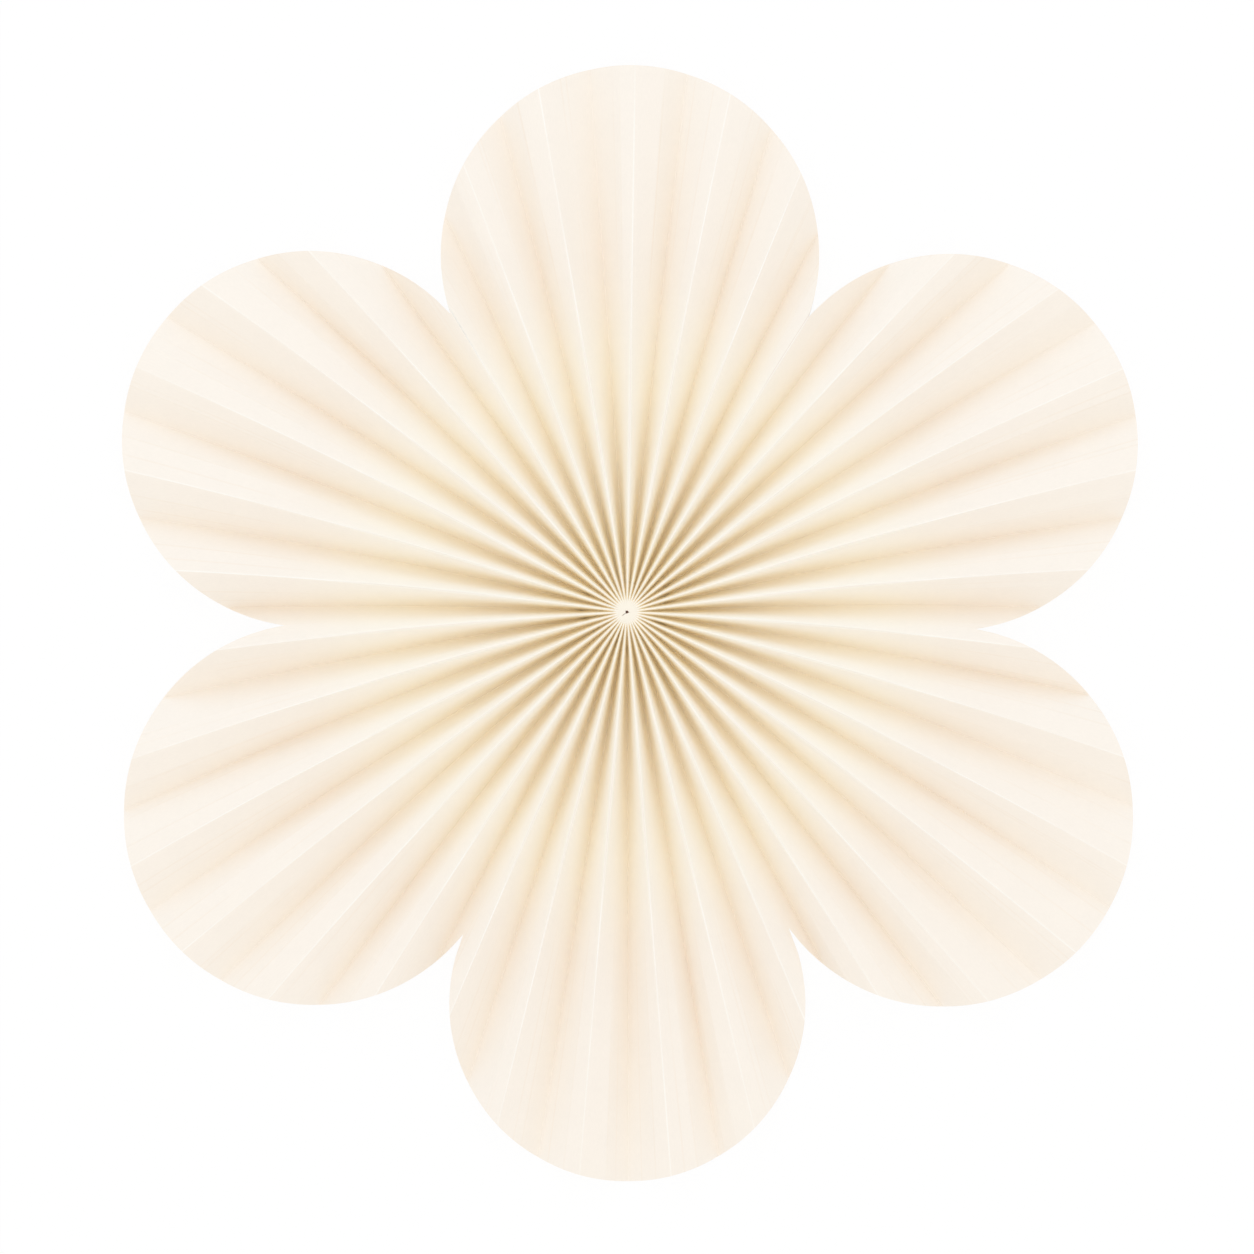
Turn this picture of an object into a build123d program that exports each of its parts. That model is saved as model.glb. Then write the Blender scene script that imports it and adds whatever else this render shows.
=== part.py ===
from build123d import *
import math
import os

# A paper fan rosette, flower-shaped: one strip of card, pleated across, closed into a ring by a
# glued lap and gathered at its inner edge, with six round petals cut in its outer edge.
# It lies face up. +Z is the face, +Y the top petal, and the origin is on the hub's axis, on the
# plane that the valley folds rest on. All sizes are in millimetres.

# The paper and its folds. A panel is the paper between a ridge and its valley: a sloping facet
# under the ridge, an upright middle and a sloping facet above the valley, with soft bends between
paper_thickness = 0.24
pleat_count = 35
edge_depth = 5.4  # height of the folds at the strip's outer edge, before the petals are cut
edge_upright = 0.15  # what is left there of a panel's upright middle
crease_share = 0.03  # the flat top of a fold, as a share of the panel's width
bend_slope = 64.0  # degrees, the slope of the soft bends
inner_distance = 58.0  # distances from the hub where a panel's slopes change along it
outer_distance = 105.0
hub_bend_share = 0.1  # the soft bends' share of the panel's width at the hub
inner_bend_share = 0.8
edge_bend_share = 0.025  # and at the strip's outer edge
outer_upright = 1.2  # the upright middle that the soft bends leave at the outer distance

# How the folds spread round the hub, in degrees
first_ridge = 7.5
side_gather = 2.5  # the folds drift away from the right-hand side
diagonal_gather = 1.2  # and a little along one diagonal
diagonal_direction = 30.0
valley_lean = 0.6  # a valley lies this far off the middle between its ridges
lean_direction = -35.0

# The cut outline: each petal's direction from the flower's middle in degrees, the distance of
# its centre and its radius. The flower's middle lies a little below the hub
flower_middle = (0.8, -4.6)
petals = [
    (30.3, 99.5, 50.7),
    (90.0, 100.8, 50.9),
    (149.3, 100.1, 50.6),
    (210.4, 98.3, 51.4),
    (269.6, 100.7, 47.9),
    (329.1, 98.1, 51.2),
]
web_radius = 91.0  # the round field inside the notches
edge_trim = 2.0  # paper beyond the longest petal before cutting

# The hub, and the lap that closes the strip
packing_room = 1.05  # spacing of the packed folds, as a multiple of the paper's thickness
hub_hole_radius = 0.45
lap_ridge = 5  # the lap lies behind the panel after this ridge
lap_start = 30.0  # distance from the hub where the lap parts from the packed folds


def polar_point(distance, direction):
    turn = math.radians(direction)
    return distance * math.cos(turn), distance * math.sin(turn)


# The petals' circles and the length of strip that they need
petal_circles = []
for direction, distance, radius in petals:
    x, y = polar_point(distance, direction)
    petal_circles.append((flower_middle[0] + x, flower_middle[1] + y, radius))
strip_edge = max(math.hypot(x, y) + radius for x, y, radius in petal_circles) + edge_trim
fold_width = math.hypot(edge_depth, strip_edge * math.tan(math.pi / pleat_count))


def ridge_direction(number):
    even = 360 * number / pleat_count
    gather = side_gather * math.cos(math.radians(even))
    skew = diagonal_gather * math.cos(math.radians(2 * (even - diagonal_direction)))
    return first_ridge + even - gather + skew


def valley_direction(number):
    middle = (ridge_direction(number) + ridge_direction(number + 1)) / 2
    return middle + valley_lean * math.cos(math.radians(middle - lean_direction))


# Each pleat as its ridge's direction and the angles of the panels before and after it
pleats = []
for number in range(pleat_count):
    ridge = ridge_direction(number)
    pleats.append((ridge, ridge - valley_direction(number - 1), valley_direction(number) - ridge))
narrowest_panel = min(min(before, after) for ridge, before, after in pleats)
widest_panel = max(max(before, after) for ridge, before, after in pleats)
hub_radius = packing_room * paper_thickness / math.tan(math.radians(narrowest_panel))


def fold_height(distance):
    """Height of the ridges: a panel keeps its width, so it stands lower the more it spreads."""
    spread = distance * math.tan(math.pi / pleat_count)
    return math.sqrt(fold_width**2 - spread**2)


def facet_slope(angle):
    """Slope of a panel's two facets, which fills the fold's height at the strip's outer edge."""
    room = strip_edge * math.tan(math.radians(angle)) - paper_thickness
    bend_rise = edge_bend_share * math.tan(math.radians(bend_slope))
    rise = (edge_depth - edge_upright - 2 * paper_thickness) / room - bend_rise
    return math.degrees(math.atan(rise / (1 - crease_share - edge_bend_share)))


def bend_share_beside(upright, distance):
    """The soft bends' share that leaves the widest panel an upright middle of this height."""
    half_room = (distance * math.tan(math.radians(widest_panel)) - paper_thickness) / 2
    rise = fold_height(distance) / 2 - paper_thickness - upright / 2
    facet_rise = math.tan(math.radians(facet_slope(widest_panel)))
    bend_rise = math.tan(math.radians(bend_slope))
    return (rise / half_room - (1 - crease_share) * facet_rise) / (bend_rise - facet_rise)


def corner_outside(corner, slope_before, slope_after):
    """The corner on the outside of a bend, across the paper from the one on its inside."""
    before = math.radians(slope_before)
    after = math.radians(slope_after)
    reach = paper_thickness / (1 + math.cos(after - before))
    x = corner[0] + reach * (math.sin(before) + math.sin(after))
    z = corner[1] + reach * (math.cos(before) + math.cos(after))
    return x, z


def panel_sides(station, angle):
    """The front and back of a panel from its ridge to its valley, cut across at a station."""
    distance, bend_share = station
    run = distance * math.tan(math.radians(angle))
    height = fold_height(distance)
    slope = facet_slope(angle)
    half_room = (run - paper_thickness) / 2
    crease_run = crease_share * half_room
    bend_run = bend_share * half_room
    facet_start = height - paper_thickness
    facet_end = facet_start - (half_room - crease_run - bend_run) * math.tan(math.radians(slope))
    bend_end = facet_end - bend_run * math.tan(math.radians(bend_slope))
    inside = [(crease_run, facet_start), (half_room - bend_run, facet_end), (half_room, bend_end)]
    slopes = [0, slope, bend_slope, 90]
    outside = [corner_outside(inside[n], slopes[n], slopes[n + 1]) for n in range(3)]
    # The valley half is the ridge half turned over
    valley_inside = [(run - x, height - z) for x, z in reversed(inside)]
    valley_outside = [(run - x, height - z) for x, z in reversed(outside)]
    front = outside + valley_inside + [(run, paper_thickness)]
    back = inside + valley_outside + [(run, 0)]
    return front, back


def place(outline, ridge, distance):
    """Stands an outline across a ridge, at a distance from the hub's axis."""
    foot_x, foot_y = polar_point(distance, ridge)
    side_x, side_y = polar_point(1, ridge + 90)
    return [Vector(foot_x + side_x * x, foot_y + side_y * x, z) for x, z in outline]


def pleat_outline(station, before, after):
    front_before, back_before = panel_sides(station, before)
    front_after, back_after = panel_sides(station, after)
    front = [(-x, z) for x, z in reversed(front_before)] + front_after
    back = [(-x, z) for x, z in reversed(back_before)] + back_after
    return front + back[::-1]


def lap_outline(station, angle):
    """The strip's end, one paper's thickness behind the first facet of a panel."""
    front, back = panel_sides(station, angle)
    down_x, down_z = polar_point(paper_thickness, -90 - facet_slope(angle))
    behind = [(x + down_x, z + down_z) for x, z in back[:2]]
    return back[:2] + behind[::-1]


def flat_sided(sections):
    """A solid with flat sides between sections that have the same corners in the same order."""
    sides = [Face(Wire.make_polygon(sections[0])), Face(Wire.make_polygon(sections[-1]))]
    for inner, outer in zip(sections, sections[1:]):
        for n in range(len(inner)):
            sides.append(Face(Wire.make_polygon([inner[n - 1], inner[n], outer[n], outer[n - 1]])))
    return Solid(Shell(sides))


# Where the folded strip is cut across: the distance from the hub, and the soft bends' share there
stations = [
    (hub_radius, hub_bend_share),
    (inner_distance, inner_bend_share),
    (outer_distance, bend_share_beside(outer_upright, outer_distance)),
    (strip_edge, edge_bend_share),
]

# The folded paper, pleat by pleat from valley to valley. Each side has the same slope at both of
# its stations, so all the sides are flat
folded_paper = []
hub_corners = []
for ridge, before, after in pleats:
    sections = [place(pleat_outline(station, before, after), ridge, station[0]) for station in stations]
    folded_paper.append(flat_sided(sections))
    # The pleat's side of the hub
    hub_runs = [(hub_radius * math.tan(math.radians(angle)), 0) for angle in (-before, after)]
    hub_corners += [(corner.X, corner.Y) for corner in place(hub_runs, ridge, hub_radius)]

# The lap
ridge, before, after = pleats[lap_ridge]
lap = [place(lap_outline(station, after), ridge, station[0]) for station in stations]
lap_share = (lap_start - hub_radius) / (inner_distance - hub_radius)
lap[0] = [hub + (inner - hub) * lap_share for hub, inner in zip(lap[0], lap[1])]
folded_paper.append(flat_sided(lap))

with BuildPart() as rosette:
    # The packed folds at the hub
    with BuildSketch():
        Polygon(*hub_corners, align=None)
    extrude(amount=fold_height(hub_radius))
    add(folded_paper)
    Hole(hub_hole_radius)
    # The petals
    with BuildSketch():
        with Locations(flower_middle):
            Circle(web_radius)
        for x, y, radius in petal_circles:
            with Locations((x, y)):
                Circle(radius)
    extrude(amount=fold_width, mode=Mode.INTERSECT)

rosette.part.label = "rosette"
os.makedirs("parts", exist_ok=True)
export_step(rosette.part, "parts/rosette.step")
print("reach", round(strip_edge, 2), "fold width", round(fold_width, 2), "hub radius", round(hub_radius, 2))
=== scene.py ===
import math

import bpy
import numpy as np
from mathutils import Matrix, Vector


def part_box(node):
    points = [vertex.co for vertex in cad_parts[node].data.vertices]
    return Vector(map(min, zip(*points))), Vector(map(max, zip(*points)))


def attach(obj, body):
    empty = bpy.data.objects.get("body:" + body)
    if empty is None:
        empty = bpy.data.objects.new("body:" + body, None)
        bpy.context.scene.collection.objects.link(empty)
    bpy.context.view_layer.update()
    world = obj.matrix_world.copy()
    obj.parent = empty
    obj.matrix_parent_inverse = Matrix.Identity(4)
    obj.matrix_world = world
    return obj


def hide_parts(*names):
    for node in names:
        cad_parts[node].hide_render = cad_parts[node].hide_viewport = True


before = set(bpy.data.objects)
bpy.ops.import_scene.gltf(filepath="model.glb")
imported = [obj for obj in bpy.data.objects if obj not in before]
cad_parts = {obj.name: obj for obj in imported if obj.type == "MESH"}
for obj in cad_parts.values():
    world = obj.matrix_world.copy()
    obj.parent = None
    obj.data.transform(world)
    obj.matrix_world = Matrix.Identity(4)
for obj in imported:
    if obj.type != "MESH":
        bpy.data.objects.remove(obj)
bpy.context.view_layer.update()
mm = 0.001
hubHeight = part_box("rosette")[1].z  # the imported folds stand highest, read from the frame


def selectNothing():
    bpy.ops.object.select_all(action="DESELECT")


def linearColour(hexText):
    channels = [int(hexText[n:n + 2], 16) / 255 for n in (0, 2, 4)]
    linear = [c / 12.92 if c <= 0.04045 else ((c + 0.055) / 1.055) ** 2.4 for c in channels]
    return (*linear, 1.0)


def addNode(tree, kind, settings):
    # Each setting belongs to a property, or to a socket by its name or number. Where it is another
    # node's output, it is linked
    node = tree.nodes.new(kind)
    for name, value in settings.items():
        if isinstance(value, bpy.types.NodeSocket):
            tree.links.new(value, node.inputs[name])
        elif isinstance(name, str) and name not in node.inputs:
            setattr(node, name, value)
        else:
            node.inputs[name].default_value = value
    return node


def newMaterial(name):
    material = bpy.data.materials.new(name)
    material.use_nodes = True
    material.node_tree.nodes.clear()
    return material, material.node_tree


# The pleated card

card = {
    "pleats": 35,
    "thickness": 0.24 * mm,
    "edgeDepth": 5.4 * mm,       # height of the folds where the uncut strip would end
    "hubRadius": 3.34 * mm,
    "firstRidge": 7.5,           # degrees
    "sideGather": 2.5,           # how the folds drift round the hub, in degrees
    "diagonalGather": 1.2,
    "diagonalDirection": 30.0,
    "valleyLean": 0.6,
    "leanDirection": -35.0,
    "bow": 0.2,                  # degrees per centimetre that they turn aside on their way out
    "straightAt": 107.6 * mm,    # distance at which the folds lie in the directions above
    # The cut outline
    "outlineMiddle": (0.8 * mm, -4.6 * mm),
    "petals": [                  # direction in degrees, distance and radius in millimetres
        (30.3, 99.5, 50.7),
        (90.0, 100.8, 50.9),
        (149.3, 100.1, 50.6),
        (210.4, 98.3, 51.4),
        (269.6, 100.7, 47.9),
        (329.1, 98.1, 51.2),
    ],
    "webRadius": 91.0 * mm,      # the round field inside the notches
    "trim": 2.0 * mm,            # card beyond the longest petal before it was cut
    "inset": 0.02 * mm,          # keeps the cut edge just inside the solid's
    # The small three-cornered hole where the folds meet, with a slit to one side
    "holeRadius": 0.2 * mm,
    "holeCorners": [             # direction in degrees, extra reach, and width in degrees
        (141.0, 0.35 * mm, 16.0),
        (-8.0, 0.5 * mm, 14.0),
        (245.0, 0.3 * mm, 18.0),
        (218.0, 1.5 * mm, 5.0),
    ],
    "holeBackRadius": 0.2 * mm,  # it runs through the hub a little aslant
    "holeBackMiddle": (0.5 * mm, -0.4 * mm),
    # The folds near the hub
    "packedRadius": 3.0 * mm,    # the hub's solid middle
    "packedReach": 13.0 * mm,    # how far the folds are pressed together round it
    "unevenReach": 0.12,         # and how much that differs from fold to fold
    "pinches": [                 # folds pinched together: direction, and distance where that ends
        (33.9, 13.2), (24.4, 12.7), (13.4, 12.1), (156.0, 12.9), (179.4, 13.2), (189.0, 12.8),
        (251.3, 9.2), (272.8, 11.2), (338.6, 10.7),
    ],
    "pinchDepth": 0.3,
    "pinchLength": 4.5 * mm,
    "pinchEnd": 0.7 * mm,
    # The panels' shape at five distances: how far the rounding of a ridge and of a valley reaches,
    # and how much steeper a panel is at its middle and towards its valley
    "shapeAt": (6 * mm, 15 * mm, 35 * mm, 60 * mm, 100 * mm),
    "ridgeRound": (0.3 * mm, 0.3 * mm, 0.45 * mm, 0.3 * mm, 0.12 * mm),
    "valleyRound": (0.3 * mm, 0.45 * mm, 0.35 * mm, 0.24 * mm, 0.23 * mm),
    "middleSteep": (0.4, 0.3, 0.5, 0.2, 0.0),
    "valleySteep": (0.05, 0.05, 0.15, 0.24, 0.1),
    "middleWidth": 0.3,          # the middle as a share of the panel's width
    "unevenSteep": 0.08,         # how much the panels' steepness differs
    "mostRidge": 0.3,            # the most that the rounding takes of a narrow panel
    "mostValley": 0.45,
    # Two soft creases on each panel start at the cut edge: how much steeper the card is past them,
    # and where they lie between ridge and valley
    "facet": (0.12, 0.48),
    "facetPlace": (0.34, 0.62),
    "crease": (-0.1, 0.12),      # the fainter one
    "creasePlace": (0.2, 0.85),
    "creaseWidth": 0.02,
    "facetReach": (65 * mm, 115 * mm),
    # The glued lap: past this ridge the card's end lies over its beginning, a slip behind it
    "lapRidge": 5,
    "lapStart": 30.0 * mm,       # where the slip starts
    "lapWidth": 6.0 * mm,
    "lapSunk": 0.02 * mm,        # how deep it is pressed into the glue
    "lapTrim": 0.996,            # and what is left of its length, to stay behind the cut edge
    "lapShown": (66 * mm, 76 * mm),   # distances over which the end's edge comes to show
    "lapStep": 0.07 * mm,        # as a fine step
    "lapEdge": (0.2 * mm, 0.4 * mm),  # which rises this far past the ridge
    # The mesh
    "seed": 7,                   # for what differs from fold to fold
    "sections": 64,              # cross sections that are worked out along a panel
    "sectionSteps": 400,         # and steps across it
    "roundSteps": 15,            # steps that give the card its thickness
    "columns": 15,               # faces across a panel, crowded where it is steep or turns
    "crowdTurning": 1.2,
    "crowdEven": 0.6,
    "hubRows": 5,                # rows of points on the hub, up to innerReach and up to the edge
    "innerRows": 21,
    "innerCrowding": 1.3,
    "innerReach": 22 * mm,
    "outerRows": 18,
    "edgeGuess": 100 * mm,       # where the search for the cut edge starts, and its steps
    "edgeSteps": 6,
    "notchColumns": 4,           # columns on either side that make room for a notch's own column
    "notchReach": (0.6, 0.9),    # shares of the notch's distance over which that starts
    "headRoom": 0.01 * mm,       # what the ridges stay below the hub's top
    "merge": 0.001 * mm,
}


def petalCircles():
    circles = []
    for direction, distance, radius in card["petals"]:
        turn = math.radians(direction)
        x = card["outlineMiddle"][0] + distance * mm * math.cos(turn)
        y = card["outlineMiddle"][1] + distance * mm * math.sin(turn)
        circles.append((x, y, radius * mm))
    return circles


def reachAlong(turns):
    # How far the cut outline lies from the hub in each direction: the farthest of its circles
    ways = np.stack([np.cos(turns), np.sin(turns)], -1)
    reach = np.zeros(turns.shape)
    for x, y, radius in petalCircles() + [(*card["outlineMiddle"], card["webRadius"])]:
        along = ways @ np.array([x, y])
        radius = radius - card["inset"]
        inside = radius**2 - (x * x + y * y) + along**2
        hit = along + np.sqrt(np.maximum(inside, 0))
        reach = np.maximum(reach, np.where(inside > 0, hit, 0))
    return reach


stripEdge = max(math.hypot(x, y) + radius for x, y, radius in petalCircles()) + card["trim"]
foldWidth = math.hypot(card["edgeDepth"], stripEdge * math.tan(math.pi / card["pleats"]))


def ridgeDirection(number):
    even = 360 * number / card["pleats"]
    gather = card["sideGather"] * math.cos(math.radians(even))
    skew = card["diagonalGather"] * math.cos(math.radians(2 * (even - card["diagonalDirection"])))
    return card["firstRidge"] + even - gather + skew


def valleyDirection(number):
    middle = (ridgeDirection(number) + ridgeDirection(number + 1)) / 2
    return middle + card["valleyLean"] * math.cos(math.radians(middle - card["leanDirection"]))


def foldHeight(distance):
    # A panel is as wide everywhere, so the more a fold is spread, the lower it stands
    pitch = math.tan(math.pi / card["pleats"])
    spread = np.clip(distance, card["hubRadius"], stripEdge) * pitch
    spreadAtHub = card["hubRadius"] * pitch
    return np.sqrt(foldWidth**2 + spreadAtHub**2 - spread**2)


def smoothStep(value, low, high):
    t = np.clip((value - low) / (high - low), 0, 1)
    return t * t * (3 - 2 * t)


def openShare(distance, valley, uneven):
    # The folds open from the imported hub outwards: 0 where they are solid, 1 where they are free
    out = np.maximum(distance - card["packedRadius"], 0) / card["packedReach"] / uneven
    share = 1 - np.exp(-out)
    for direction, reach in card["pinches"]:
        if abs((valley - direction + 180) % 360 - 180) < 180 / card["pleats"]:
            end = reach * mm
            start, turn = end - card["pinchLength"], end - card["pinchEnd"]
            inside = smoothStep(distance, start, turn) * (1 - smoothStep(distance, turn, end))
            share = share + card["pinchDepth"] * inside * share
    return share


def bowed(direction, distance):
    # Turns a direction aside with the distance, most for the folds that lie to the sides
    aside = card["bow"] * (distance - card["straightAt"]) / (10 * mm)
    return direction - aside * np.cos(np.radians(direction))


def thicken(run, heights, side):
    # The face of a sheet that is as thick everywhere, above (1) or below (-1) its middle line
    half = card["thickness"] / 2
    x = run * np.linspace(0, 1, heights.shape[-1])
    wrapped = np.concatenate([heights[:, :0:-1], heights, heights[:, -2::-1]], -1)
    places = np.concatenate([-x[:, :0:-1], x, 2 * run - x[:, -2::-1]], -1)
    face = np.full(heights.shape, -side * np.inf)
    for shift in np.linspace(-1, 1, card["roundSteps"]):
        moved = np.stack([
            np.interp(line + shift * half, place, height)
            for line, place, height in zip(x, places, wrapped)
        ])
        lifted = moved + side * half * math.sqrt(1 - shift**2)
        face = np.maximum(face, lifted) if side > 0 else np.minimum(face, lifted)
    return face


def fromNoneToAll(lines):
    # Rising lines, each as its share of the way from its first value to its last
    return (lines - lines[:, :1]) / (lines[:, -1:] - lines[:, :1])


def panelShape(ridge, valley, uneven, chance):
    # A panel's cross sections at a range of distances. For each of its columns from ridge to
    # valley: the share of its run, how far its front lies below the ridge, how high its back lies,
    # and on the flat paper how far it is from the ridge and from each of two soft creases
    angle = math.radians(abs(valley - ridge))
    distances = (stripEdge * np.linspace(0, 1, card["sections"])[1:, None]) ** 2 / stripEdge
    u = np.linspace(0, 1, card["sectionSteps"] + 1)[None, :]
    run = distances * angle
    depth = (foldHeight(distances) - card["thickness"]) * openShare(distances, valley, uneven)

    def shapeAt(name):
        return np.interp(distances, card["shapeAt"], card[name])

    middle = 1 / np.cosh((u - 0.5) / card["middleWidth"]) ** 2
    lean = shapeAt("valleySteep") + chance.uniform(-card["unevenSteep"], card["unevenSteep"])
    steep = 1 + shapeAt("middleSteep") * (middle / middle.mean() - 1) + lean * (2 * u - 1)
    rim = smoothStep(distances, *card["facetReach"])
    creases = []
    for name in ("facet", "crease"):
        creases.append(chance.uniform(*card[name + "Place"]))
        turn = 1 + np.tanh((u - creases[-1]) / card["creaseWidth"])
        steep = steep + rim * chance.uniform(*card[name]) * (turn / turn.mean() - 1)
    steep = steep * np.tanh(u / np.minimum(shapeAt("ridgeRound") / run, card["mostRidge"]))
    steep = steep * np.tanh((1 - u) / np.minimum(shapeAt("valleyRound") / run, card["mostValley"]))
    down = fromNoneToAll(np.cumsum(steep, -1))
    front = thicken(run, -depth * down, 1) - card["thickness"] / 2
    back = thicken(run, -depth * down, -1) + card["thickness"] / 2

    # Columns crowd where the front is steep and where it turns
    slope = np.arctan2(-np.gradient(front, axis=-1), np.gradient(u, axis=-1) * run)
    turning = np.abs(np.gradient(slope, axis=-1)) + 1e-9  # a flat front turns nowhere
    climb = np.hypot(np.gradient(u, axis=-1) * run, np.gradient(front, axis=-1))
    density = climb / climb.sum(-1, keepdims=True)
    density = density + card["crowdTurning"] * turning / turning.sum(-1, keepdims=True)
    density = density + card["crowdEven"] / u.size
    steps = np.linspace(0, 1, card["columns"] + 1)
    across = np.stack([
        np.interp(steps, line, u[0]) for line in fromNoneToAll(np.cumsum(density, -1))
    ])
    paper = foldWidth * fromNoneToAll(np.cumsum(climb, -1))
    fromCreases = [paper - paper[:, [int(card["sectionSteps"] * crease)]] for crease in creases]
    sides = [
        np.stack([np.interp(place, u[0], line) for place, line in zip(across, side)])
        for side in (front, back + depth, paper, *fromCreases)
    ]
    return distances[:, 0], across, sides


def notchPoints():
    # Where neighbouring petals' circles cross, away from the hub
    circles = petalCircles()
    notches = []
    for (x1, y1, r1), (x2, y2, r2) in zip(circles, circles[1:] + circles[:1]):
        gap = math.hypot(x2 - x1, y2 - y1)
        along = (gap**2 + r1**2 - r2**2) / (2 * gap)
        aside = math.sqrt(r1**2 - along**2)
        wayX, wayY = (x2 - x1) / gap, (y2 - y1) / gap
        footX, footY = x1 + along * wayX, y1 + along * wayY
        ends = [(footX + side * wayY, footY - side * wayX) for side in (-aside, aside)]
        notches.append(max(ends, key=lambda end: math.hypot(*end)))
    return notches


def meetNotch(ridge, valley, stations, across, sides):
    # Moves the column nearest to a notch onto it, with less of the move in the columns beside it
    for x, y in notchPoints():
        distance = math.hypot(x, y)
        direction = math.degrees(math.atan2(y, x))
        start = bowed(ridge, distance)
        wanted = ((direction - start + 180) % 360 - 180) / (valley - ridge)
        if not 0 <= wanted <= 1:
            continue
        here = np.array([np.interp(distance, stations, line) for line in across.T])
        nearest = 1 + int(np.argmin(np.abs(here[1:-1] - wanted)))
        moving = [nearest - card["notchColumns"], nearest, nearest + card["notchColumns"]]
        pull = np.interp(np.arange(len(here)), moving, [0, 1, 0])
        pull[[0, -1]] = 0
        near = smoothStep(stations, *(share * distance for share in card["notchReach"]))[:, None]
        moved = across + near * pull * (wanted - here[nearest])
        sides = [
            np.stack([np.interp(new, old, line) for new, old, line in zip(moved, across, side)])
            for side in sides
        ]
        across = moved
    return across, sides


def holeReach(turns):
    reach = np.full(turns.shape, card["holeRadius"])
    for direction, extra, width in card["holeCorners"]:
        aside = (np.degrees(turns) - direction + 180) % 360 - 180
        reach = reach + extra * np.exp(-(aside / width) ** 2)
    return reach


def panelPoints(ridge, valley, uneven, chance):
    # By row and column: the places of the panel's points, the heights of its front and back, and
    # for the flat paper the distances from the hub, the ridge and the creases
    stations, across, sides = panelShape(ridge, valley, uneven, chance)
    across, sides = meetNotch(ridge, valley, stations, across, sides)
    hubShares = np.linspace(0, 1, card["hubRows"])
    innerShares = (np.arange(1, card["innerRows"]) / card["innerRows"]) ** card["innerCrowding"]
    inner = card["packedRadius"] + (card["innerReach"] - card["packedRadius"]) * innerShares
    outerShares = np.arange(card["outerRows"] + 1) / card["outerRows"]
    rows = len(hubShares) + len(inner) + len(outerShares)
    distances = np.zeros((rows, card["columns"] + 1))
    tables = [np.zeros_like(distances) for table in range(1 + len(sides))]
    for column in range(card["columns"] + 1):
        # A column wanders across its panel, so it is followed to the cut edge in a few steps
        reach = np.array([card["edgeGuess"]])
        for step in range(card["edgeSteps"]):
            share = np.interp(reach, stations, across[:, column])
            turn = np.radians(bowed(ridge + (valley - ridge) * share, reach))
            reach = reachAlong(turn)
        outer = card["innerReach"] + (reach - card["innerReach"]) * outerShares
        hubTurn = bowed(ridge + (valley - ridge) * across[0, column], card["hubRadius"])
        hole = holeReach(np.radians(np.array([hubTurn])))
        hub = hole + (card["packedRadius"] - hole) * hubShares
        here = np.concatenate([hub, inner, outer])
        distances[:, column] = here
        for table, line in zip(tables, (across, *sides)):
            table[:, column] = np.interp(here, stations, line[:, column])
    shares, fronts, backs, *papers = tables
    turns = np.radians(bowed(ridge + (valley - ridge) * shares, distances))
    places = np.stack([distances * np.cos(turns), distances * np.sin(turns)], -1)
    fronts = np.minimum(foldHeight(distances) + fronts, hubHeight - card["headRoom"])
    return [places, fronts, backs, distances, *papers]


def layOver(panel):
    # The card's end, laid over its beginning: its edge shows just past the ridge as a fine step
    fronts, distances, papers = panel[1], panel[3], panel[4]
    onTop = smoothStep(papers, *card["lapEdge"]) * (1 - papers / foldWidth)
    panel[1] = fronts + card["lapStep"] * onTop * smoothStep(distances, *card["lapShown"])


def stripPoints():
    # The whole strip's tables, ridge to valley to ridge, without a repeated ridge
    chance = np.random.default_rng(card["seed"])
    panels = []
    for number in range(card["pleats"]):
        valley = valleyDirection(number)
        uneven = 1 + chance.uniform(-card["unevenReach"], card["unevenReach"])
        falling = panelPoints(ridgeDirection(number), valley, uneven, chance)
        rising = panelPoints(ridgeDirection(number + 1), valley, uneven, chance)
        if number == card["lapRidge"]:
            layOver(falling)
        # Distances from a panel's own ridge become distances from the start of the strip
        falling[4] = falling[4] + 2 * foldWidth * number
        rising[4] = 2 * foldWidth * (number + 1) - rising[4]
        panels.append([part[:, :-1] for part in falling])
        panels.append([part[:, :0:-1] for part in rising])
    return [np.concatenate(parts, axis=1) for parts in zip(*panels)]


def cardTables(strip):
    # The front from the hub's hole to the cut edge, then the back from the cut edge to the hole:
    # the points, their places on the flat strip and their distances from the creases
    place, frontHeight, backHeight, across, along, facet, crease = strip
    front = np.concatenate([place, frontHeight[..., None]], -1)
    back = np.concatenate([place, backHeight[..., None]], -1)
    ways = back[0, :, :2] / np.linalg.norm(back[0, :, :2], axis=-1, keepdims=True)
    back[0, :, :2] = card["holeBackMiddle"] + card["holeBackRadius"] * ways
    tables = [np.concatenate([front, back[::-1], front[:1]])]
    for table in (np.stack([along, across], -1), np.stack([facet, crease], -1)):
        tables.append(np.concatenate([table, table[::-1], table[:1]]))
    tables = [np.concatenate([table, table[:, :1]], axis=1) for table in tables]
    tables[1][:, -1, 0] = 2 * foldWidth * card["pleats"]
    return tables


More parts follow.
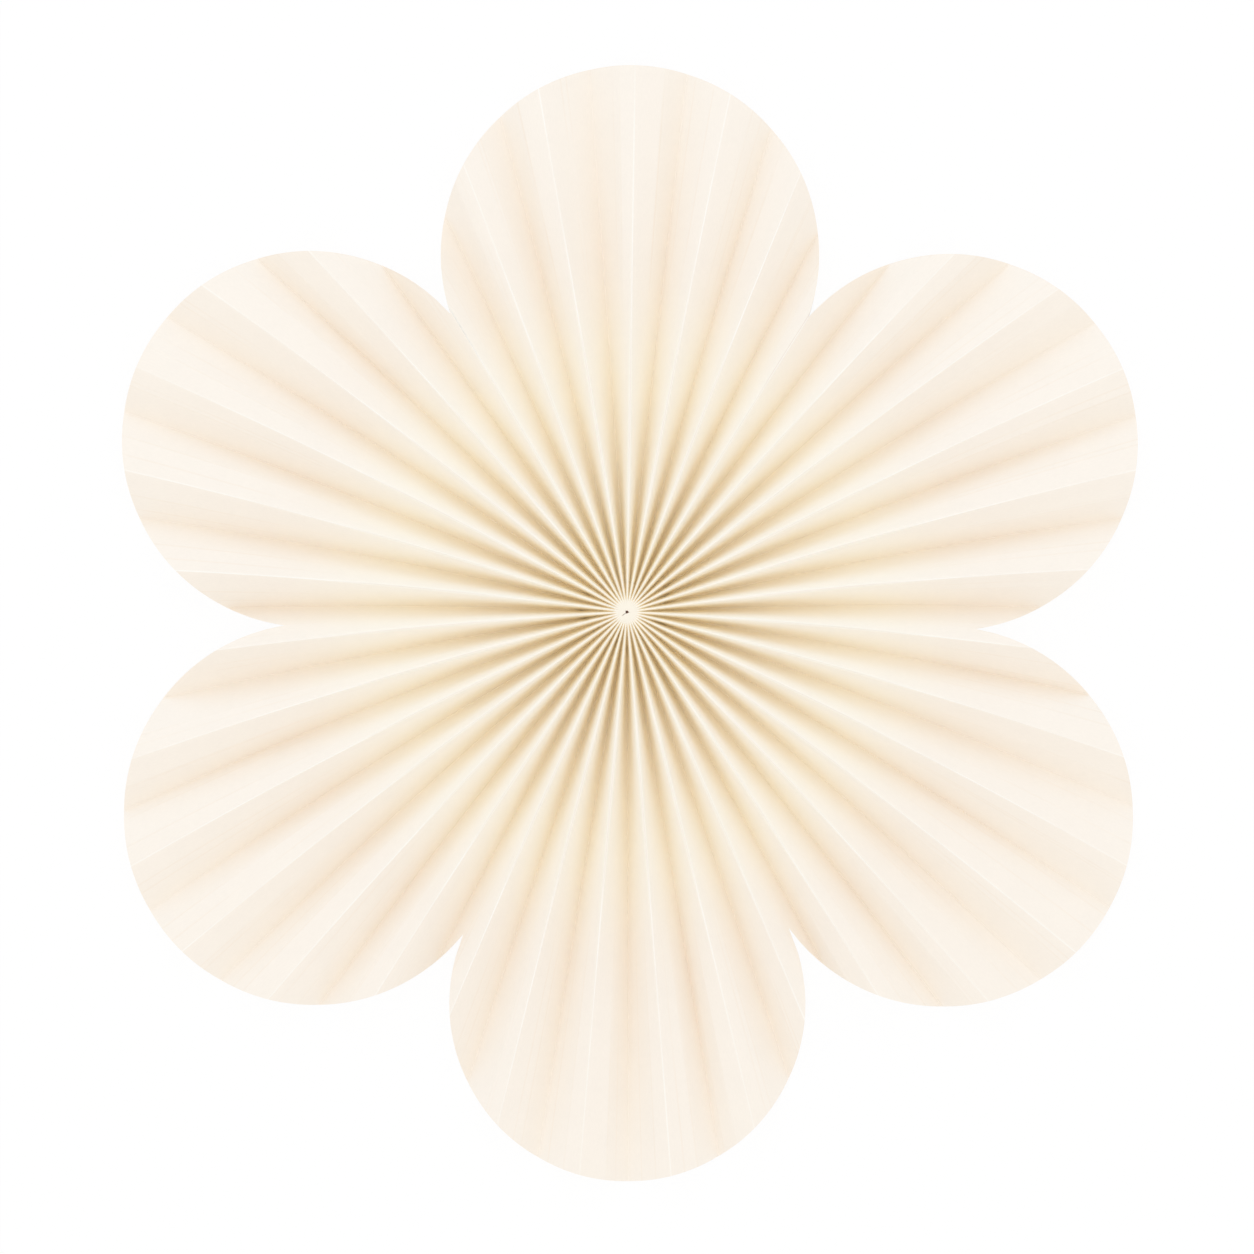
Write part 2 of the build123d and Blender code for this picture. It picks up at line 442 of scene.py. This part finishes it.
def lapTables(strip):
    # The beginning of the card, glued behind its end: a narrow slip behind the panel after a ridge
    place, frontHeight, backHeight, across, along, facet, crease = strip
    first = card["lapRidge"] * 2 * card["columns"]
    fromRidge = along[-1, first:first + card["columns"]] - along[-1, first]
    wide = int(np.sum(fromRidge < card["lapWidth"]))
    rows = across[:, first] >= card["lapStart"]
    part = np.s_[rows, first:first + wide]
    inner = np.concatenate([place[part], backHeight[part][..., None]], -1)
    down = np.cross(np.gradient(inner, axis=0), np.gradient(inner, axis=1))
    down *= -np.sign(down[..., 2:]) / np.linalg.norm(down, axis=-1, keepdims=True)
    upper = inner - card["lapSunk"] * down
    lower = inner + card["thickness"] * down
    tables = [np.concatenate([upper, lower[:, ::-1], upper[:, :1]], axis=1)]
    tables[0][..., :2] *= card["lapTrim"]
    for table in (np.stack([along, across], -1), np.stack([facet, crease], -1)):
        table = table[part]
        tables.append(np.concatenate([table, table[:, ::-1], table[:, :1]], axis=1))
    return tables


def makeSheet(name, tables, isSharp):
    # A grid whose points are moved to the first table's. The others become its UV maps, and
    # isSharp tells by row and column which of its edges stay sharp
    points, flatPlaces, creasePlaces = tables
    rows, columns = points.shape[0] - 1, points.shape[1] - 1
    selectNothing()
    bpy.ops.mesh.primitive_grid_add(x_subdivisions=columns, y_subdivisions=rows, size=1)
    sheet = bpy.context.object
    sheet.name = name
    mesh = sheet.data
    # The grid runs from -0.5 to 0.5, which tells each point's row and column
    flat = np.zeros(len(mesh.vertices) * 3)
    mesh.vertices.foreach_get("co", flat)
    flat = flat.reshape(-1, 3) + 0.5
    column = np.rint(flat[:, 0] * columns).astype(int)
    row = np.rint(flat[:, 1] * rows).astype(int)
    mesh.vertices.foreach_set("co", points[row, column].ravel())
    mesh.update()
    corners = np.zeros(len(mesh.loops), dtype=int)
    mesh.loops.foreach_get("vertex_index", corners)
    bpy.ops.mesh.uv_texture_add()
    layers = (("flatStrip", flatPlaces), ("creases", creasePlaces))
    for layer, (layerName, table) in zip(mesh.uv_layers, layers):
        layer.name = layerName
        layer.data.foreach_set("uv", table[row[corners], column[corners]].ravel())
    mesh.uv_layers.active_index = 0
    bpy.ops.object.mode_set(mode="EDIT")
    bpy.ops.mesh.select_mode(type="EDGE")
    bpy.ops.mesh.select_all(action="DESELECT")
    bpy.ops.object.mode_set(mode="OBJECT")
    for edge in mesh.edges:
        first, second = edge.vertices
        edge.select = bool(isSharp(row[first], row[second], column[first], column[second]))
    bpy.ops.object.mode_set(mode="EDIT")
    bpy.ops.mesh.mark_sharp()
    bpy.ops.mesh.select_all(action="SELECT")
    bpy.ops.mesh.remove_doubles(threshold=card["merge"])
    bpy.ops.mesh.fill_holes(sides=0)
    bpy.ops.mesh.normals_make_consistent(inside=False)
    bpy.ops.object.mode_set(mode="OBJECT")
    bpy.ops.object.shade_smooth(keep_sharp_edges=True)
    return sheet


def makeCard():
    strip = stripPoints()
    tables = cardTables(strip)
    edgeRow = (tables[0].shape[0] - 2) // 2
    lastRow = 2 * edgeRow + 1
    fold = card["columns"]

    def isSharpOnCard(row, nextRow, column, nextColumn):
        # The cut edge, the hole's rims, and the bottoms of the folds on either side of the card
        alongRim = row == nextRow and row in (0, edgeRow, edgeRow + 1, lastRow, lastRow + 1)
        bottom = fold if max(row, nextRow) <= edgeRow else 0
        return alongRim or (column == nextColumn and column % (2 * fold) == bottom)

    sheet = makeSheet("pleatedCard", tables, isSharpOnCard)
    tables = lapTables(strip)
    wide = tables[0].shape[1] // 2

    def isSharpOnLap(row, nextRow, column, nextColumn):
        return column == nextColumn and column in (0, wide - 1, wide, 2 * wide - 1)

    lap = makeSheet("lap", tables, isSharpOnLap)
    selectNothing()
    lap.select_set(True)
    sheet.select_set(True)
    bpy.context.view_layer.objects.active = sheet
    bpy.ops.object.join()
    return sheet


pleatedCard = makeCard()
print("card folded", len(pleatedCard.data.polygons), "faces")


# What the card is made of, and the light and shade painted on it. A fade says at which distance
# from the hub a colour starts to show and at which it is full, and a drawn line is full up to a
# share of its width and gone at its width

creamCard = {
    "colour": "FBF4EA",
    "paintedLightColour": "FDF8ED",    # painted light: a little brighter where the folds are packed, against the shade deep in them
    "paintedLightFade": (100 * mm, 60 * mm),
    "hubColour": "FDF7E8",       # and warmer near the hub
    "hubFade": (34 * mm, 12 * mm),
    "holeShadeColour": "8A4A28",      # painted shade on the hole's walls
    "holeShadeFade": (0.5 * mm, 0.26 * mm),
    "lineCore": 0.25,
    "ridgeColour": "FFFCF5",     # a painted highlight along the ridges, stronger in some places
    "ridgeWidth": 0.27 * mm,
    "ridgeShare": 1.0,
    "ridgeFade": (62 * mm, 84 * mm),
    "ridgePatches": (0.35, 0.65, 0.35, 1.0),  # the pattern's range and the line's share over it
    "rubbedColour": "E6D6C8",    # and nearer the hub a painted shade along the ridges instead, a little grey
    "rubbedWidth": 0.2 * mm,
    "rubbedShare": 0.3,
    "paintedRidgeShadeFade": (28 * mm, 45 * mm),
    "valleyColour": "F0E2CE",    # painted shade, a little darker at the bottom of a fold
    "valleyWidth": 0.8 * mm,
    "valleyShare": 0.08,
    "creaseColour": "F2DFC8",    # painted shade along soft creases that start at the cut edge
    "creaseWidth": 0.36 * mm,
    "creaseShare": 0.15,
    "creaseFade": (70 * mm, 105 * mm),
    "creasePatches": (0.3, 0.6),
    "edgeColour": "D8BBA6",      # a painted shadow along the edge of the lap
    "edgeWidth": 0.22 * mm,
    "edgeShare": 0.3,
    "seamColour": "E8CDB0",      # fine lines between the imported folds
    "seamWidth": 5 * mm,
    "seamShare": 0.3,
    "seamFade": (4.5 * mm, 2.8 * mm),
    "roughness": 0.85,
    # Patterns, with their sizes along the strip and across it: patches in which the drawn lines
    # come and go, the cloudy paper, and its fibres, drawn twice as coarse as real ones to show
    "patchesSize": (2.2 * foldWidth, 45 * mm),
    "patchesDetail": 2.0,
    "mottleSize": (7 * mm, 7 * mm),
    "mottleDetail": 4.0,
    "fibresSize": (0.35 * mm, 1.6 * mm),
    "fibresDetail": 3.0,
    "patternRoughness": 0.6,
    "shadeColour": "000000",     # a trace of it between the clouds and between the fibres
    "shadeRange": (0.75, 0.25),
    "mottleShade": 0.012,
    "fibresShade": 0.022,
    "fibreHeight": 0.01 * mm,
}


def makeCreamCard():
    # Uncoated cream card, machine made and creased: a matt warm white with barely any sheen,
    # faintly cloudy and fibrous. It is painted brighter where its folds are packed, with painted
    # highlights along its ridges and painted shade at the bottom of its folds, along its creases,
    # at the lap's edge and in the hole
    material, tree = newMaterial("uncoated cream card")
    look = creamCard

    # The distances from the hub and, on the flat strip, from each of the drawn lines
    flat = addNode(tree, "ShaderNodeUVMap", {"uv_map": "flatStrip"}).outputs["UV"]
    flatParts = addNode(tree, "ShaderNodeSeparateXYZ", {"Vector": flat})
    along, fromHub = flatParts.outputs["X"], flatParts.outputs["Y"]
    folded = addNode(tree, "ShaderNodeMath", {"operation": "PINGPONG", 0: along, 1: foldWidth})
    fromRidge = folded.outputs[0]
    rest = addNode(tree, "ShaderNodeMath", {"operation": "SUBTRACT", 0: foldWidth, 1: fromRidge})
    fromValley = rest.outputs[0]
    lapPlace = 2 * foldWidth * card["lapRidge"] + card["lapEdge"][0]
    pastLap = addNode(tree, "ShaderNodeMath", {"operation": "SUBTRACT", 0: along, 1: lapPlace})
    besideLap = addNode(tree, "ShaderNodeMath", {"operation": "ABSOLUTE", 0: pastLap.outputs[0]})
    fromLap = besideLap.outputs[0]
    creases = addNode(tree, "ShaderNodeUVMap", {"uv_map": "creases"}).outputs["UV"]
    beside = addNode(tree, "ShaderNodeVectorMath", {"operation": "ABSOLUTE", 0: creases})
    fromCreases = addNode(tree, "ShaderNodeSeparateXYZ", {"Vector": beside.outputs[0]})

    patterns = []
    for name in ("patches", "mottle", "fibres"):
        width, length = look[name + "Size"]
        stretched = addNode(tree, "ShaderNodeMapping", {
            "Vector": flat,
            "Scale": (1 / width, 1 / length, 1.0),
        })
        noise = addNode(tree, "ShaderNodeTexNoise", {
            "Vector": stretched.outputs["Vector"],
            "Scale": 1.0,
            "Detail": look[name + "Detail"],
            "Roughness": look["patternRoughness"],
        })
        patterns.append(noise.outputs["Fac"])
    patches, mottle, fibres = patterns

    def painted(under, hexText, *fades):
        # A colour laid over another one. Its share is the product of its fades: each follows an
        # output from a start to an end, and there from one share to another, or from none to all
        share = 1.0
        for source, start, end, *shares in fades:
            least, most = shares or (0.0, 1.0)
            fade = addNode(tree, "ShaderNodeMapRange", {
                "interpolation_type": "SMOOTHSTEP",
                "Value": source,
                "From Min": start,
                "From Max": end,
                "To Min": least,
                "To Max": most,
            })
            share = addNode(tree, "ShaderNodeMath", {
                "operation": "MULTIPLY",
                0: share,
                1: fade.outputs["Result"],
            }).outputs[0]
        return addNode(tree, "ShaderNodeMix", {
            "data_type": "RGBA",
            "Factor": share,
            6: under,  # the first and the second colour
            7: linearColour(hexText),
        }).outputs[2]

    def lined(under, name, distance, *fades):
        width, share = look[name + "Width"], look[name + "Share"]
        stroke = (distance, width, look["lineCore"] * width, 0.0, share)
        return painted(under, look[name + "Colour"], stroke, *fades)

    colour = linearColour(look["colour"])
    # Painted light: the card is painted a little brighter inwards, against the shade deep in its
    # packed folds
    colour = painted(colour, look["paintedLightColour"], (fromHub, *look["paintedLightFade"]))
    colour = painted(colour, look["hubColour"], (fromHub, *look["hubFade"]))
    # Painted shade along the bottom of each fold
    colour = lined(colour, "valley", fromValley)
    # Painted shade along the two soft creases on each panel, towards the cut edge and in patches
    for axis in ("X", "Y"):
        colour = lined(colour, "crease", fromCreases.outputs[axis],
                       (fromHub, *look["creaseFade"]), (patches, *look["creasePatches"]))
    # A painted highlight along the ridges, towards the cut edge and stronger in patches
    colour = lined(colour, "ridge", fromRidge,
                   (fromHub, *look["ridgeFade"]), (patches, *look["ridgePatches"]))
    # Painted shade along the ridges nearer the hub, a little grey, gone where the painted
    # highlight comes in
    colour = lined(colour, "rubbed", fromRidge,
                   (fromHub, *look["paintedRidgeShadeFade"]), (fromHub, *reversed(look["ridgeFade"])))
    colour = lined(colour, "seam", fromValley, (fromHub, *look["seamFade"]))
    # A painted shadow along the edge of the lap
    colour = lined(colour, "edge", fromLap, (fromHub, *card["lapShown"]))
    # Painted shade on the hole's walls
    colour = painted(colour, look["holeShadeColour"], (fromHub, *look["holeShadeFade"]))
    for pattern, share in ((mottle, look["mottleShade"]), (fibres, look["fibresShade"])):
        colour = painted(colour, look["shadeColour"], (pattern, *look["shadeRange"], 0.0, share))

    bump = addNode(tree, "ShaderNodeBump", {
        "Strength": 1.0,
        "Distance": look["fibreHeight"],
        "Height": fibres,
    })
    shader = addNode(tree, "ShaderNodeBsdfPrincipled", {
        "Base Color": colour,
        "Roughness": look["roughness"],
        "Normal": bump.outputs["Normal"],
    })
    addNode(tree, "ShaderNodeOutputMaterial", {"Surface": shader.outputs["BSDF"]})
    return material


pleatedCard.data.materials.clear()
pleatedCard.data.materials.append(makeCreamCard())
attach(pleatedCard, "root")
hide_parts("rosette")
print("card coloured")


# Floor, lights and camera

studio = {
    "floorSize": 30.0,
    "floorColour": "FFFFFF",
    "floorWhite": 0.94,          # share of the floor that the camera sees as plain white
    "floorGlow": 0.4,            # and that evens out the card's shadows on it for other rays
    "worldColour": "FDFBF9",     # soft light from all round, stronger from above
    "worldLow": 0.88,
    "worldHigh": 1.09,
    "lampColour": "A8D4FF",      # and a little cooler light from the top of the picture
    "lampPower": 6.0,
    "lampSize": 1.2,
    "lampAt": (-0.35, 2.0, 1.15),
    "cameraHeight": 8.0,
    "lookAt": (0.0, -4.04 * mm),  # the frame's middle, a little below the hub
    "frameWidth": 337.5 * mm,
    "sensor": 36.0,              # millimetres
    "bounces": 24,               # light gets to the bottom of deep pale folds by many bounces
    "diffuseBounces": 16,
}


def makeFloor():
    selectNothing()
    bpy.ops.mesh.primitive_plane_add(size=studio["floorSize"], location=(0, 0, 0))
    floor = bpy.context.object
    floor.name = "floor"
    material, tree = newMaterial("white paper sweep")
    paper = addNode(tree, "ShaderNodeBsdfDiffuse", {"Color": linearColour(studio["floorColour"])})
    white = addNode(tree, "ShaderNodeEmission", {"Strength": 1.0})
    rays = addNode(tree, "ShaderNodeLightPath", {})
    share = addNode(tree, "ShaderNodeMapRange", {
        "Value": rays.outputs["Is Camera Ray"],
        "To Min": studio["floorGlow"],
        "To Max": studio["floorWhite"],
    })
    mixed = addNode(tree, "ShaderNodeMixShader", {
        0: share.outputs["Result"],
        1: paper.outputs["BSDF"],
        2: white.outputs["Emission"],
    })
    addNode(tree, "ShaderNodeOutputMaterial", {"Surface": mixed.outputs["Shader"]})
    floor.data.materials.append(material)


def makeLights():
    world = bpy.data.worlds.new("studio")
    world.use_nodes = True
    tree = world.node_tree
    tree.nodes.clear()
    where = addNode(tree, "ShaderNodeTexCoord", {})
    direction = addNode(tree, "ShaderNodeSeparateXYZ", {"Vector": where.outputs["Generated"]})
    level = addNode(tree, "ShaderNodeMapRange", {
        "interpolation_type": "SMOOTHSTEP",
        "Value": direction.outputs["Z"],
        "To Min": studio["worldLow"],
        "To Max": studio["worldHigh"],
    })
    background = addNode(tree, "ShaderNodeBackground", {
        "Color": linearColour(studio["worldColour"]),
        "Strength": level.outputs["Result"],
    })
    addNode(tree, "ShaderNodeOutputWorld", {"Surface": background.outputs["Background"]})
    bpy.context.scene.world = world
    selectNothing()
    bpy.ops.object.light_add(type="AREA", location=studio["lampAt"])
    lamp = bpy.context.object
    lamp.name = "softbox"
    lamp.data.shape = "SQUARE"
    lamp.data.size = studio["lampSize"]
    lamp.data.energy = studio["lampPower"]
    lamp.data.color = linearColour(studio["lampColour"])[:3]
    lamp.rotation_euler = (-lamp.location).to_track_quat("-Z", "Y").to_euler()  # aimed at the hub


def makeCamera():
    selectNothing()
    x, y = studio["lookAt"]
    bpy.ops.object.camera_add(location=(x, y, studio["cameraHeight"]), rotation=(0, 0, 0))
    camera = bpy.context.object
    camera.data.sensor_width = studio["sensor"]
    camera.data.lens = studio["sensor"] * studio["cameraHeight"] / studio["frameWidth"]
    bpy.context.scene.camera = camera


makeFloor()
makeLights()
makeCamera()
bpy.context.scene.view_settings.view_transform = "Standard"
bpy.context.scene.cycles.max_bounces = studio["bounces"]
bpy.context.scene.cycles.diffuse_bounces = studio["diffuseBounces"]
print("studio set")
